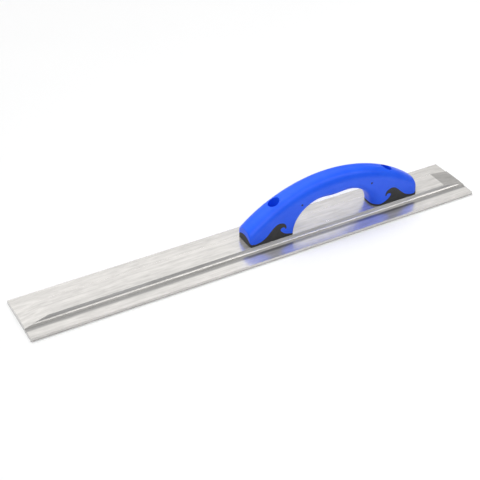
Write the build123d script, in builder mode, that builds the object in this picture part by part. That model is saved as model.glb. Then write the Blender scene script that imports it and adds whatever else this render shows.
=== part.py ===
from build123d import *
from math import cos, radians, sin
import os

# Extruded hand float with an overmoulded bow handle. Millimetres. The origin is at the middle of
# the flat working face, +X runs along the blade towards the end nearer the handle, +Z is up.

# Blade
BLADE_LENGTH = 609.6  # 24 in
BLADE_WIDTH = 79.4  # 3-1/8 in
EDGE_HEIGHT = 4.2  # thickness of the flanges at their edges
FLANGE_HEIGHT = 4.5  # thickness of the flanges where they meet the platform's sides
PLATFORM_HEIGHT = 10.0
PLATFORM_WIDTH = 31.0
CREST = (-18.3, 7.35)  # outer foot of the platform's front wall, as (Y, Z)
CREST_MIDDLE = (-19.2, 7.15)
SHOULDER = (-19.9, 6.7)  # where the rounded ridge turns down to the front flange
FRONT_BASE = (-22.0, FLANGE_HEIGHT)
REAR_BASE = (16.4, FLANGE_HEIGHT)
BASE_RADIUS = 1.0
BEVEL_END_HEIGHT = 5.7  # height of a milled end bevel where the blade ends
BEVEL_CUT_TOP = 20.0  # anything above the platform
BEVEL_STARTS = {-1: -274.5, 1: 277.0}  # where the bevels leave the platform

# Handle
HANDLE_CENTRE = 110.7  # midway between the feet
HANDLE_WIDTH = 31.0
HANDLE_TOP = 74.3
TOP_RADIUS = 192.0  # side-view radius of the bow's top line
TOP_EDGE_RADIUS = 13.0  # rounding of the bow's two upper edges
HANDLE_ENDS = (-12.8, 234.6)
RIGHT_END_LEAN = 12.0  # how far the right end leans in over twice the handle's height
END_EDGE_RADII = (3.0, 6.5)
UNDERSIDE = 46.5  # underside of the grip at mid-width
PALM_SWELL = 1.0
ARCH_FEET = (48.0, 167.2)  # finger opening at platform height
ARCH_REACHES = (41.0, 42.0)  # length of the left and right quarters of the arch
GRIP_EDGE_RADIUS = 10.0  # rounding of the lower edges under the grip
FOOT_EDGE_RADII = (3.0, 12.0)  # the same edges at the two feet
STATION_STEP = 15  # degrees of arch between cross-sections
STATIONS = range(-2 * STATION_STEP, 91, STATION_STEP)  # from below a foot up to the grip

# Screws: 1/4 in, 6-1/2 in apart
SCREW_SPACING = 165.1
SCREW_RADIUS = 3.1
CLEARANCE_RADIUS = 3.6
TAPPED_DEPTH = 8.0
WELL_RADIUS = 7.25
SEAT_HEIGHT = 19.0  # floor of each screw well
FLAT_WASHER_RADIUS = 6.6
FLAT_WASHER_THICKNESS = 1.4
LOCK_WASHER_RADIUS = 5.8
LOCK_WASHER_THICKNESS = 1.6
LOCK_WASHER_GAP = 1.0
LOCK_WASHER_TURN = 20.0  # degrees from +X to the gap
HEAD_RADIUS = 6.0
HEAD_HEIGHT = 3.8
HEAD_CROWN = 1.6  # rounding of the pan head's rim
RECESS_LENGTH = 6.4
RECESS_WIDTH = 1.2
RECESS_DEPTH = 2.2

# Core: the rigid moulding that shows as the feet
END_PAD_DEPTH = 5.0
END_PAD_CORNER = 3.8  # height of the end pad at the flanks
END_PAD_MIDDLE = 11.0
RIB_HALF_WIDTH = 5.0
RIB_COVER = 9.0  # soft overmould over the rib
RIB_THICKNESS = 12.0
RIB_SPAN = 144.0
RIB_LEG_WIDTH = 6.0
RIB_LEG_HEIGHT = 34.0
BOSS_RADIUS = 12.0
BOSS_HEIGHT = 12.0
POST_RADIUS = 1.4
POST_HEIGHT = 49.0
POST_OFFSET = 50.9

# Wave panel of the left foot in the XZ plane; the right one is its mirror image
WAVE_BLOCK = (-20, 80)  # reach of the panel along X, past the handle's end and into the opening
WAVE_CREST = [(-14, 14.6), (-3, 13.3), (6, 16.2), (17, 26), (27, 32.2), (35.2, 29.8), (37.7, 23.4)]
WAVE_TIP = [(37.7, 23.4), (36.9, 22.2), (35.9, 22.9)]
WAVE_CURL = [(35.9, 22.9), (33.0, 25.3), (29.5, 23.5), (31.7, 18.9), (38.2, 14.6), (46, 12.8)]

TOP_CENTRE_Z = HANDLE_TOP - TOP_RADIUS
OPENING_HEIGHT = UNDERSIDE - PLATFORM_HEIGHT
SCREW_X = {"left": HANDLE_CENTRE - SCREW_SPACING / 2, "right": HANDLE_CENTRE + SCREW_SPACING / 2}


def top_point(start, direction):
    """Where a ray in the XZ plane meets the circle of the bow's top line."""
    away = Vector(start.X - HANDLE_CENTRE, 0, start.Z - TOP_CENTRE_Z)
    along = away.dot(direction)
    return start + direction * ((along**2 - away.dot(away) + TOP_RADIUS**2) ** 0.5 - along)


def bow_section(inner, direction, inner_radius):
    """Cross-section of the bow, from a point on the arch out to the top line."""
    outer = top_point(inner, direction)
    plane = Plane(origin=(inner + outer) / 2, x_dir=(0, 1, 0), z_dir=(direction.Z, 0, -direction.X))
    with BuildSketch(plane) as section:
        Rectangle(HANDLE_WIDTH, (outer - inner).length)
        corners = section.vertices().group_by(Axis.Y)
        fillet(corners[-1], TOP_EDGE_RADIUS)
        corners = section.vertices().group_by(Axis.Y)
        fillet(corners[0], inner_radius)
    return section.sketch


def arch_quarter(side):
    """Cross-sections around one elliptical quarter of the arch, from the foot (0) up to the grip."""
    end = (1 + side) // 2
    reach = ARCH_REACHES[end]
    centre = ARCH_FEET[end] - side * reach
    sections = []
    for turn in STATIONS:
        across = side * cos(radians(turn))
        up = sin(radians(turn))
        inner = Vector(centre + reach * across, 0, PLATFORM_HEIGHT + OPENING_HEIGHT * up)
        direction = Vector(across / reach, 0, up / OPENING_HEIGHT).normalized()
        blend = 1 - abs(across) if turn > 0 else 0
        radius = FOOT_EDGE_RADII[end] + (GRIP_EDGE_RADIUS - FOOT_EDGE_RADII[end]) * blend
        sections.append(bow_section(inner, direction, radius))
    return sections


# Whole outside of the handle, before it is divided into core and grip
with BuildPart() as handle_body:
    left = arch_quarter(-1)
    right = arch_quarter(1)[::-1]
    middle_x = (ARCH_FEET[0] + ARCH_REACHES[0] + ARCH_FEET[1] - ARCH_REACHES[1]) / 2
    swell = bow_section(Vector(middle_x, 0, UNDERSIDE - PALM_SWELL), Vector(0, 0, 1), GRIP_EDGE_RADIUS)
    loft([*left, swell, *right])
    with BuildSketch(Plane.XZ):
        with BuildLine():
            Polyline(
                (HANDLE_ENDS[0], PLATFORM_HEIGHT), (HANDLE_ENDS[1], PLATFORM_HEIGHT),
                (HANDLE_ENDS[1] - RIGHT_END_LEAN, 2 * HANDLE_TOP), (HANDLE_ENDS[0], 2 * HANDLE_TOP),
                (HANDLE_ENDS[0], PLATFORM_HEIGHT),
            )
        make_face()
    extrude(amount=HANDLE_WIDTH, both=True, mode=Mode.INTERSECT)
    for end in (0, 1):
        face = handle_body.faces().sort_by(Axis.X)[-end]
        fillet(face.edges().sort_by(Axis.Z)[1:], END_EDGE_RADII[end])

# Space that the core takes up, still unbounded at the outside
with BuildPart() as core_space:
    for mirrored in (False, True):
        with BuildSketch(Plane.XZ) as wave:
            with BuildLine():
                crest = Spline(*WAVE_CREST)
                ThreePointArc(*WAVE_TIP)
                curl = Spline(*WAVE_CURL)
                low = Polyline((WAVE_BLOCK[0], (crest @ 0).Y), (WAVE_BLOCK[0], 0), (WAVE_BLOCK[1], 0))
                Line(crest @ 0, low @ 0)
                Polyline(low @ 1, (WAVE_BLOCK[1], (curl @ 1).Y), curl @ 1)
            make_face()
            if mirrored:
                mirror(wave.sketch, about=Plane.YZ.offset(HANDLE_CENTRE), mode=Mode.REPLACE)
        extrude(amount=HANDLE_WIDTH, both=True)
    for end, inward in ((0, 1), (1, -1)):
        with BuildSketch(Plane.YZ.offset(HANDLE_ENDS[end] + inward * END_PAD_DEPTH)):
            with BuildLine():
                corner_z = PLATFORM_HEIGHT + END_PAD_CORNER
                half = HANDLE_WIDTH / 2
                pad_top = ThreePointArc(
                    (-half, corner_z), (0, PLATFORM_HEIGHT + END_PAD_MIDDLE), (half, corner_z)
                )
                Polyline(pad_top @ 1, (half, 0), (-half, 0), pad_top @ 0)
            make_face()
        extrude(amount=-inward * HANDLE_WIDTH)
    with BuildSketch(Plane.XZ):
        with Locations((HANDLE_CENTRE, TOP_CENTRE_Z)):
            Circle(TOP_RADIUS - RIB_COVER)
            Circle(TOP_RADIUS - RIB_COVER - RIB_THICKNESS, mode=Mode.SUBTRACT)
        with Locations((HANDLE_CENTRE, HANDLE_TOP)):
            Rectangle(RIB_SPAN, 2 * (HANDLE_TOP - PLATFORM_HEIGHT), mode=Mode.INTERSECT)
        for side in (-1, 1):
            leg_x = HANDLE_CENTRE + side * (RIB_SPAN - RIB_LEG_WIDTH) / 2
            with Locations((leg_x, PLATFORM_HEIGHT)):
                Rectangle(RIB_LEG_WIDTH, RIB_LEG_HEIGHT, align=(Align.CENTER, Align.MIN))
    extrude(amount=RIB_HALF_WIDTH, both=True)
    for x in SCREW_X.values():
        with BuildSketch(Plane.XY):
            with Locations((x, 0)):
                Circle(BOSS_RADIUS)
        extrude(amount=PLATFORM_HEIGHT + BOSS_HEIGHT)
    with BuildSketch(Plane.XZ):
        with Locations(*[(HANDLE_CENTRE + side * POST_OFFSET, POST_HEIGHT) for side in (-1, 1)]):
            Circle(POST_RADIUS)
    extrude(amount=HANDLE_WIDTH, both=True)

# Everything that the screws, washers and wells take out of the handle
with BuildPart() as screw_space:
    for x in SCREW_X.values():
        with BuildSketch(Plane.XY):
            with Locations((x, 0)):
                Circle(CLEARANCE_RADIUS)
        extrude(amount=SEAT_HEIGHT)
        with BuildSketch(Plane.XY.offset(SEAT_HEIGHT)):
            with Locations((x, 0)):
                Circle(WELL_RADIUS)
        extrude(amount=HANDLE_TOP)

with BuildPart() as handle_core:
    add(handle_body.part)
    add(core_space.part, mode=Mode.INTERSECT)
    add(screw_space.part, mode=Mode.SUBTRACT)

with BuildPart() as handle_grip:
    add(handle_body.part)
    add(core_space.part, mode=Mode.SUBTRACT)
    add(screw_space.part, mode=Mode.SUBTRACT)

with BuildPart() as blade:
    with BuildSketch(Plane.YZ) as profile:
        with BuildLine():
            Polyline(
                SHOULDER, FRONT_BASE, (-BLADE_WIDTH / 2, EDGE_HEIGHT), (-BLADE_WIDTH / 2, 0),
                (BLADE_WIDTH / 2, 0), (BLADE_WIDTH / 2, EDGE_HEIGHT), REAR_BASE,
                (PLATFORM_WIDTH / 2, PLATFORM_HEIGHT), (-PLATFORM_WIDTH / 2, PLATFORM_HEIGHT), CREST,
            )
            ThreePointArc(CREST, CREST_MIDDLE, SHOULDER)
        make_face()
        corners = profile.vertices()
        fillet([corners.sort_by_distance((0, *base))[0] for base in (FRONT_BASE, REAR_BASE)], BASE_RADIUS)
    extrude(amount=BLADE_LENGTH / 2, both=True)
    for side, start in BEVEL_STARTS.items():
        end = side * BLADE_LENGTH / 2
        with BuildSketch(Plane.XZ):
            with BuildLine():
                Polyline(
                    (start, PLATFORM_HEIGHT), (end, BEVEL_END_HEIGHT), (end, BEVEL_CUT_TOP),
                    (start, BEVEL_CUT_TOP), (start, PLATFORM_HEIGHT),
                )
            make_face()
        extrude(amount=BLADE_WIDTH, both=True, mode=Mode.SUBTRACT)
    with Locations(*[(x, 0, PLATFORM_HEIGHT) for x in SCREW_X.values()]):
        Hole(SCREW_RADIUS, depth=TAPPED_DEPTH)

pieces = {"blade": blade, "handle_core": handle_core, "handle_grip": handle_grip}

for name, x in SCREW_X.items():
    seat = SEAT_HEIGHT
    with BuildPart() as flat_washer:
        with BuildSketch(Plane.XY.offset(seat)):
            with Locations((x, 0)):
                Circle(FLAT_WASHER_RADIUS)
                Circle(CLEARANCE_RADIUS, mode=Mode.SUBTRACT)
        extrude(amount=FLAT_WASHER_THICKNESS)
    seat += FLAT_WASHER_THICKNESS
    with BuildPart() as lock_washer:
        with BuildSketch(Plane.XY.offset(seat)):
            with Locations((x, 0)):
                Circle(LOCK_WASHER_RADIUS)
                Circle(CLEARANCE_RADIUS, mode=Mode.SUBTRACT)
            with Locations((x + LOCK_WASHER_RADIUS, 0)):
                Rectangle(
                    2 * LOCK_WASHER_RADIUS, LOCK_WASHER_GAP, rotation=LOCK_WASHER_TURN, mode=Mode.SUBTRACT
                )
        extrude(amount=LOCK_WASHER_THICKNESS)
    seat += LOCK_WASHER_THICKNESS
    with BuildPart() as screw:
        with BuildSketch(Plane.XY.offset(PLATFORM_HEIGHT - TAPPED_DEPTH)):
            with Locations((x, 0)):
                Circle(SCREW_RADIUS)
        extrude(amount=seat - PLATFORM_HEIGHT + TAPPED_DEPTH)
        with BuildSketch(Plane.XY.offset(seat)):
            with Locations((x, 0)):
                Circle(HEAD_RADIUS)
        extrude(amount=HEAD_HEIGHT)
        fillet(screw.edges().sort_by(Axis.Z)[-1], HEAD_CROWN)
        with BuildSketch(Plane.XY.offset(seat + HEAD_HEIGHT)):
            with Locations((x, 0)):
                Rectangle(RECESS_LENGTH, RECESS_WIDTH)
                Rectangle(RECESS_WIDTH, RECESS_LENGTH)
        extrude(amount=-RECESS_DEPTH, mode=Mode.SUBTRACT)
    pieces["flat_washer_" + name] = flat_washer
    pieces["lock_washer_" + name] = lock_washer
    pieces["screw_" + name] = screw

os.makedirs("parts", exist_ok=True)
for name, piece in pieces.items():
    piece.part.label = name
    export_step(piece.part, f"parts/{name}.step")
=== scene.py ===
import math

import bpy
from mathutils import Matrix, Vector


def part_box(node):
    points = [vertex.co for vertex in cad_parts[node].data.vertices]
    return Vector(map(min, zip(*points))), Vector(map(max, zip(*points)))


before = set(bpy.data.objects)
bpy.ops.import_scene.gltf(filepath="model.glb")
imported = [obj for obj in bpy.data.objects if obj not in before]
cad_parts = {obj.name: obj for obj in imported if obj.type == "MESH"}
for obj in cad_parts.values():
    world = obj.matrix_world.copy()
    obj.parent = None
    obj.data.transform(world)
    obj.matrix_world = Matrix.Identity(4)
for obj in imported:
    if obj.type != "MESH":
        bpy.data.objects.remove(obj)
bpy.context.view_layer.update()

# Extruded hand float with an overmoulded bow handle. The shapes come from model.glb; this script
# adds the materials, the light, the floor and the camera.

BLADE_LOW, BLADE_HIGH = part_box("blade")
GRIP_LOW, GRIP_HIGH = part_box("handle_grip")
GRIP_MIDDLE = (GRIP_LOW + GRIP_HIGH) / 2

# Camera, in metres and degrees. Yaw turns from +Y towards +X.
CAMERA_PLACE = Vector((-0.5650, -1.0331, 0.8378))
CAMERA_YAW = 27.89
CAMERA_PITCH = 35.17
CAMERA_ROLL = -0.99
CAMERA_LENS = 87.69
CAMERA_SHIFT = 0.00104

# Where the blade's surface changes, in metres
CORNER_BACK = (-0.0214, -0.0224)  # Y across the foot of the front ridge, from unshaded to painted shade
CORNER_FRONT = (-0.0272, -0.0248)  # Y out on the front flange, from unshaded to painted shade
WALL_FRONT = (-0.0184, -0.0180)  # Y across the foot of the platform's front wall, from unshaded to painted shade
WALL_SLOPE = (-0.35, -0.55)  # the Y of a normal, from level to leaning as the front wall does; the painted shade grows with the lean
TOP_SIDE = (0.0030, 0.0040)  # Z from the underside to the top side
SKIN = 0.0002
EDGE_BAND = (BLADE_HIGH.y - SKIN, BLADE_HIGH.y - SKIN / 2)  # Y from inside to the long edges
END_BAND = (BLADE_HIGH.x - SKIN, BLADE_HIGH.x - SKIN / 2)  # X from inside to the ends
BEVEL_START = (0.2755, 0.2761)  # X from the platform to its milled bevels
BEVEL_FOOT = (0.0050, 0.0056)  # Z from the flanges to the bevels

# Colours, as linear red, green and blue
METAL_STREAK = (0.68, 0.665, 0.64, 1.0)
METAL_CLEAN = (0.93, 0.905, 0.87, 1.0)
# painted shade at the foot of the front ridge
CORNER_PAINTED_SHADE = (0.36, 0.355, 0.35, 1.0)
# painted shade on the platform's front wall
WALL_PAINTED_SHADE = (0.36, 0.365, 0.38, 1.0)
# painted shade on the long edges
EDGE_PAINTED_SHADE = (0.48, 0.475, 0.47, 1.0)
# painted shade on the end faces
END_PAINTED_SHADE = (0.42, 0.415, 0.41, 1.0)
BLUE_DEEP = (0.008, 0.106, 0.97, 1.0)
BLUE_PALE = (0.014, 0.124, 1.0, 1.0)
BLACK_DEEP = (0.033, 0.033, 0.034, 1.0)
BLACK_DUSTY = (0.048, 0.048, 0.048, 1.0)
ZINC_DARK = (0.50, 0.50, 0.48, 1.0)
ZINC_BRIGHT = (0.66, 0.65, 0.62, 1.0)
FLOOR_DARK = (0.90, 0.90, 0.90, 1.0)
FLOOR_BRIGHT = (0.92, 0.92, 0.92, 1.0)

# Stage
FLOOR_HALF = 6.0
FLOOR_DROP = 0.0002
DOME_AXIS = (-0.10, 0.60, 0.80)  # towards the dome's bright cap, above and behind the tool
DOME_STOPS = ((0.0, 0.15), (0.60, 0.19), (0.76, 0.70), (0.86, 0.86), (0.97, 0.88))  # (nearness, grey)
TOP_LIGHT = Vector((-0.30, 0.35, 0.89))  # towards a wide round soft light
TOP_ANGLE = 40.0
TOP_STRENGTH = 1.5
FILL_LIGHT = Vector((-0.43, -0.64, 0.64))  # towards a weaker round soft light at the front left
FILL_ANGLE = 45.0
FILL_STRENGTH = 0.82
STRIP_LIGHT = Vector((0.38, -0.40, 0.83))  # towards a long light that draws the shoulder and the ridge
STRIP_DISTANCE = 1.2
STRIP_SIZE = (1.3, 0.22)
STRIP_POWER = 2.8

# A colour mix node's sockets, which share their names with its other kinds of mix
MIX_FACTOR = 0
MIX_A = 6
MIX_B = 7
MIX_RESULT = 2


def set_up(made, **settings):
    """Sets a node's own settings and, with spaces for underscores, its inputs."""
    for key, value in settings.items():
        if hasattr(made, key):
            setattr(made, key, value)
        else:
            made.inputs[key.replace("_", " ")].default_value = value
    return made


def node(tree, kind, **settings):
    return set_up(tree.nodes.new(kind), **settings)


class Material:
    """A procedural material built on one Principled shader."""

    def __init__(self, name, **settings):
        self.material = bpy.data.materials.new(name)
        self.material.use_nodes = True
        self.tree = self.material.node_tree
        self.shader = set_up(self.tree.nodes["Principled BSDF"], **settings)
        coordinates = node(self.tree, "ShaderNodeTexCoord")
        self.place = coordinates.outputs["Object"]
        self.normal = coordinates.outputs["Normal"]

    def feed(self, socket, value):
        """Links a socket to another one, or gives it a constant value."""
        if isinstance(value, bpy.types.NodeSocket):
            self.tree.links.new(value, socket)
        else:
            socket.default_value = value

    def set(self, name, value):
        self.feed(self.shader.inputs[name], value)

    def noise(self, scale, detail=4.0, rough=0.55, distortion=0.0):
        """Noise whose scale is in features per metre along each axis."""
        mapping = node(self.tree, "ShaderNodeMapping", Scale=scale)
        self.feed(mapping.inputs["Vector"], self.place)
        made = node(self.tree, "ShaderNodeTexNoise", Scale=1.0, Detail=detail, Roughness=rough,
                    Distortion=distortion)
        self.feed(made.inputs["Vector"], mapping.outputs["Vector"])
        return made.outputs["Fac"]

    def spread(self, value, low, high, new_low=0.0, new_high=1.0):
        """Turns low into new_low and high into new_high, and stays between the two."""
        made = node(self.tree, "ShaderNodeMapRange", From_Min=low, From_Max=high, To_Min=new_low,
                    To_Max=new_high)
        self.feed(made.inputs["Value"], value)
        return made.outputs["Result"]

    def along(self, letter, vector):
        """The part of a vector that lies along one of the object's axes."""
        parts = node(self.tree, "ShaderNodeSeparateXYZ")
        self.feed(parts.inputs["Vector"], vector)
        return parts.outputs[letter]

    def calc(self, operation, a, b=0.0):
        made = node(self.tree, "ShaderNodeMath", operation=operation)
        self.feed(made.inputs[0], a)
        self.feed(made.inputs[1], b)
        return made.outputs["Value"]

    def times(self, a, b):
        return self.calc("MULTIPLY", a, b)

    def plus(self, a, b):
        return self.calc("ADD", a, b)

    def mix(self, factor, a, b):
        made = node(self.tree, "ShaderNodeMix", data_type="RGBA")
        self.feed(made.inputs[MIX_FACTOR], factor)
        self.feed(made.inputs[MIX_A], a)
        self.feed(made.inputs[MIX_B], b)
        return made.outputs[MIX_RESULT]

    def bump(self, height, strength, distance, below=None):
        """Raises the normal below, or the plain one, by a height."""
        made = node(self.tree, "ShaderNodeBump", Strength=strength, Distance=distance)
        self.feed(made.inputs["Height"], height)
        if below is not None:
            self.feed(made.inputs["Normal"], below)
        return made.outputs["Normal"]


def blade_metal():
    m = Material("blade_metal", Metallic=0.70, Anisotropic=0.4)
    brushing = node(m.tree, "ShaderNodeTangent", direction_type="RADIAL", axis="X")
    m.set("Tangent", brushing.outputs["Tangent"])
    y = m.along("Y", m.place)
    z = m.along("Z", m.place)
    from_middle_x = m.calc("ABSOLUTE", m.along("X", m.place))
    from_middle_y = m.calc("ABSOLUTE", y)

    # Extrusion lines and mottling along the blade
    streaks = m.noise((6.0, 420.0, 420.0), detail=6.0)
    bands = m.noise((1.6, 60.0, 60.0))
    mottle = m.noise((45.0, 230.0, 230.0), detail=5.0, rough=0.65, distortion=0.4)
    tone = m.plus(m.times(streaks, 0.30), m.times(bands, 0.25))
    tone = m.plus(tone, m.times(mottle, 0.45))
    colour = m.mix(m.spread(tone, 0.37, 0.58), METAL_STREAK, METAL_CLEAN)

    # Painted shade at the foot of the front ridge, standing in for the ridge's dark wall mirrored in
    # the flange, and on the platform's front wall, painted darker where it leans towards the dim front
    corner = m.times(m.spread(y, *CORNER_FRONT), m.spread(y, *CORNER_BACK))
    corner = m.times(corner, m.spread(z, *TOP_SIDE))
    wall = m.times(m.spread(y, *WALL_FRONT), m.spread(m.along("Y", m.normal), *WALL_SLOPE))
    # painted shade mixed in at the foot of the front ridge
    colour = m.mix(m.times(corner, 0.9), colour, CORNER_PAINTED_SHADE)
    # painted shade mixed in on the front wall, stronger where it leans
    colour = m.mix(m.times(wall, 0.58), colour, WALL_PAINTED_SHADE)

    # Painted shade on the long edges and the end faces, which are coloured darker than the top
    colour = m.mix(m.times(m.spread(from_middle_y, *EDGE_BAND), 0.5), colour, EDGE_PAINTED_SHADE)
    colour = m.mix(m.times(m.spread(from_middle_x, *END_BAND), 0.85), colour, END_PAINTED_SHADE)
    m.set("Base Color", colour)

    smudges = m.noise((14.0, 26.0, 26.0), detail=5.0, distortion=0.6)
    roughness = m.spread(smudges, 0.3, 0.7, 0.17, 0.25)
    m.set("Roughness", m.plus(roughness, m.spread(streaks, 0.3, 0.7, -0.02, 0.03)))

    # Cutter marks on the two milled bevels, then the extrusion lines and fine flecks everywhere
    marks = m.noise((1400.0, 10.0, 10.0), detail=3.0)
    flecks = m.noise((260.0, 1500.0, 1500.0), detail=2.0)
    milled = m.times(m.spread(from_middle_x, *BEVEL_START), m.spread(z, *BEVEL_FOOT))
    relief = m.bump(m.times(marks, milled), 0.25, 0.0001)
    relief = m.bump(streaks, 0.10, 0.0001, relief)
    m.set("Normal", m.bump(flecks, 0.10, 0.00005, relief))
    return m.material


def grip_rubber():
    m = Material("grip_rubber", Specular_IOR_Level=0.42)
    mottle = m.noise((60.0, 60.0, 60.0), detail=3.0)
    grain = m.noise((1800.0, 1800.0, 1800.0), detail=2.0)
    m.set("Base Color", m.mix(m.spread(mottle, 0.3, 0.7), BLUE_DEEP, BLUE_PALE))
    m.set("Roughness", m.spread(grain, 0.3, 0.7, 0.33, 0.43))
    m.set("Normal", m.bump(grain, 0.15, 0.00006))
    return m.material


def core_plastic():
    m = Material("core_plastic", Specular_IOR_Level=0.35)
    dust = m.noise((90.0, 90.0, 90.0))
    grain = m.noise((1300.0, 1300.0, 1300.0), detail=3.0)
    m.set("Base Color", m.mix(m.spread(dust, 0.4, 0.75), BLACK_DEEP, BLACK_DUSTY))
    m.set("Roughness", m.spread(grain, 0.3, 0.7, 0.5, 0.65))
    m.set("Normal", m.bump(grain, 0.3, 0.0001))
    return m.material


def fastener_steel():
    m = Material("fastener_steel", Metallic=1.0)
    plating = m.noise((700.0, 700.0, 700.0))
    m.set("Base Color", m.mix(m.spread(plating, 0.3, 0.7), ZINC_DARK, ZINC_BRIGHT))
    m.set("Roughness", m.spread(plating, 0.3, 0.7, 0.28, 0.45))
    m.set("Normal", m.bump(plating, 0.2, 0.00005))
    return m.material


def floor_paint():
    m = Material("floor_paint", Roughness=0.8, Specular_IOR_Level=0.1)
    cloud = m.noise((3.0, 3.0, 3.0), detail=2.0)
    m.set("Base Color", m.mix(cloud, FLOOR_DARK, FLOOR_BRIGHT))
    return m.material


def make_floor():
    corners = [(x * FLOOR_HALF, y * FLOOR_HALF, BLADE_LOW.z - FLOOR_DROP)
               for x, y in ((-1, -1), (1, -1), (1, 1), (-1, 1))]
    mesh = bpy.data.meshes.new("floor")
    mesh.from_pydata(corners, [], [(0, 1, 2, 3)])
    mesh.materials.append(floor_paint())
    floor = bpy.data.objects.new("floor", mesh)
    bpy.context.scene.collection.objects.link(floor)


def make_dome():
    """A dim sky that brightens in rings towards its cap."""
    world = bpy.data.worlds.new("studio")
    world.use_nodes = True
    bpy.context.scene.world = world
    sky = world.node_tree
    nearness = node(sky, "ShaderNodeVectorMath", operation="DOT_PRODUCT")
    nearness.inputs[1].default_value = DOME_AXIS
    ramp = node(sky, "ShaderNodeValToRGB")
    while len(ramp.color_ramp.elements) < len(DOME_STOPS):
        ramp.color_ramp.elements.new(1.0)
    for element, (position, grey) in zip(ramp.color_ramp.elements, DOME_STOPS):
        element.position = position
        element.color = (grey, grey, grey, 1.0)
    direction = node(sky, "ShaderNodeTexCoord").outputs["Generated"]
    sky.links.new(direction, nearness.inputs[0])
    sky.links.new(nearness.outputs["Value"], ramp.inputs["Fac"])
    sky.links.new(ramp.outputs["Color"], sky.nodes["Background"].inputs["Color"])


def make_light(name, kind, direction, place, mirrored=True, **settings):
    """A light that shines from place, with direction the way from the tool to the light."""
    data = bpy.data.lights.new(name, kind)
    for key, value in settings.items():
        setattr(data, key, value)
    lamp = bpy.data.objects.new(name, data)
    back = direction.normalized()
    along = (Vector((1, 0, 0)) - back * back.x).normalized()
    turn = Matrix((along, back.cross(along), back)).transposed().to_4x4()
    lamp.matrix_world = Matrix.Translation(place) @ turn
    lamp.visible_glossy = mirrored
    bpy.context.scene.collection.objects.link(lamp)


def make_camera():
    data = bpy.data.cameras.new("camera")
    data.lens = CAMERA_LENS
    data.shift_x = -CAMERA_SHIFT
    data.shift_y = CAMERA_SHIFT
    camera = bpy.data.objects.new("camera", data)
    turn = (Matrix.Rotation(math.radians(-CAMERA_YAW), 4, "Z")
            @ Matrix.Rotation(math.radians(90 - CAMERA_PITCH), 4, "X")
            @ Matrix.Rotation(math.radians(CAMERA_ROLL), 4, "Z"))
    camera.matrix_world = Matrix.Translation(CAMERA_PLACE) @ turn
    bpy.context.scene.collection.objects.link(camera)
    return camera


MATERIALS = {
    "blade_metal": blade_metal(),
    "core_plastic": core_plastic(),
    "grip_rubber": grip_rubber(),
    "fastener_steel": fastener_steel(),
}
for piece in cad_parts.values():
    for material_slot in piece.material_slots:
        material_slot.material = MATERIALS[material_slot.material.name.split(".")[0]]

make_floor()
make_dome()
make_light("top", "SUN", TOP_LIGHT, TOP_LIGHT, mirrored=False, energy=TOP_STRENGTH,
           angle=math.radians(TOP_ANGLE))
make_light("fill", "SUN", FILL_LIGHT, FILL_LIGHT, energy=FILL_STRENGTH, angle=math.radians(FILL_ANGLE))
make_light("strip", "AREA", STRIP_LIGHT, GRIP_MIDDLE + STRIP_LIGHT * STRIP_DISTANCE,
           shape="RECTANGLE", size=STRIP_SIZE[0], size_y=STRIP_SIZE[1], energy=STRIP_POWER)
bpy.context.scene.camera = make_camera()
bpy.context.scene.view_settings.view_transform = "Standard"
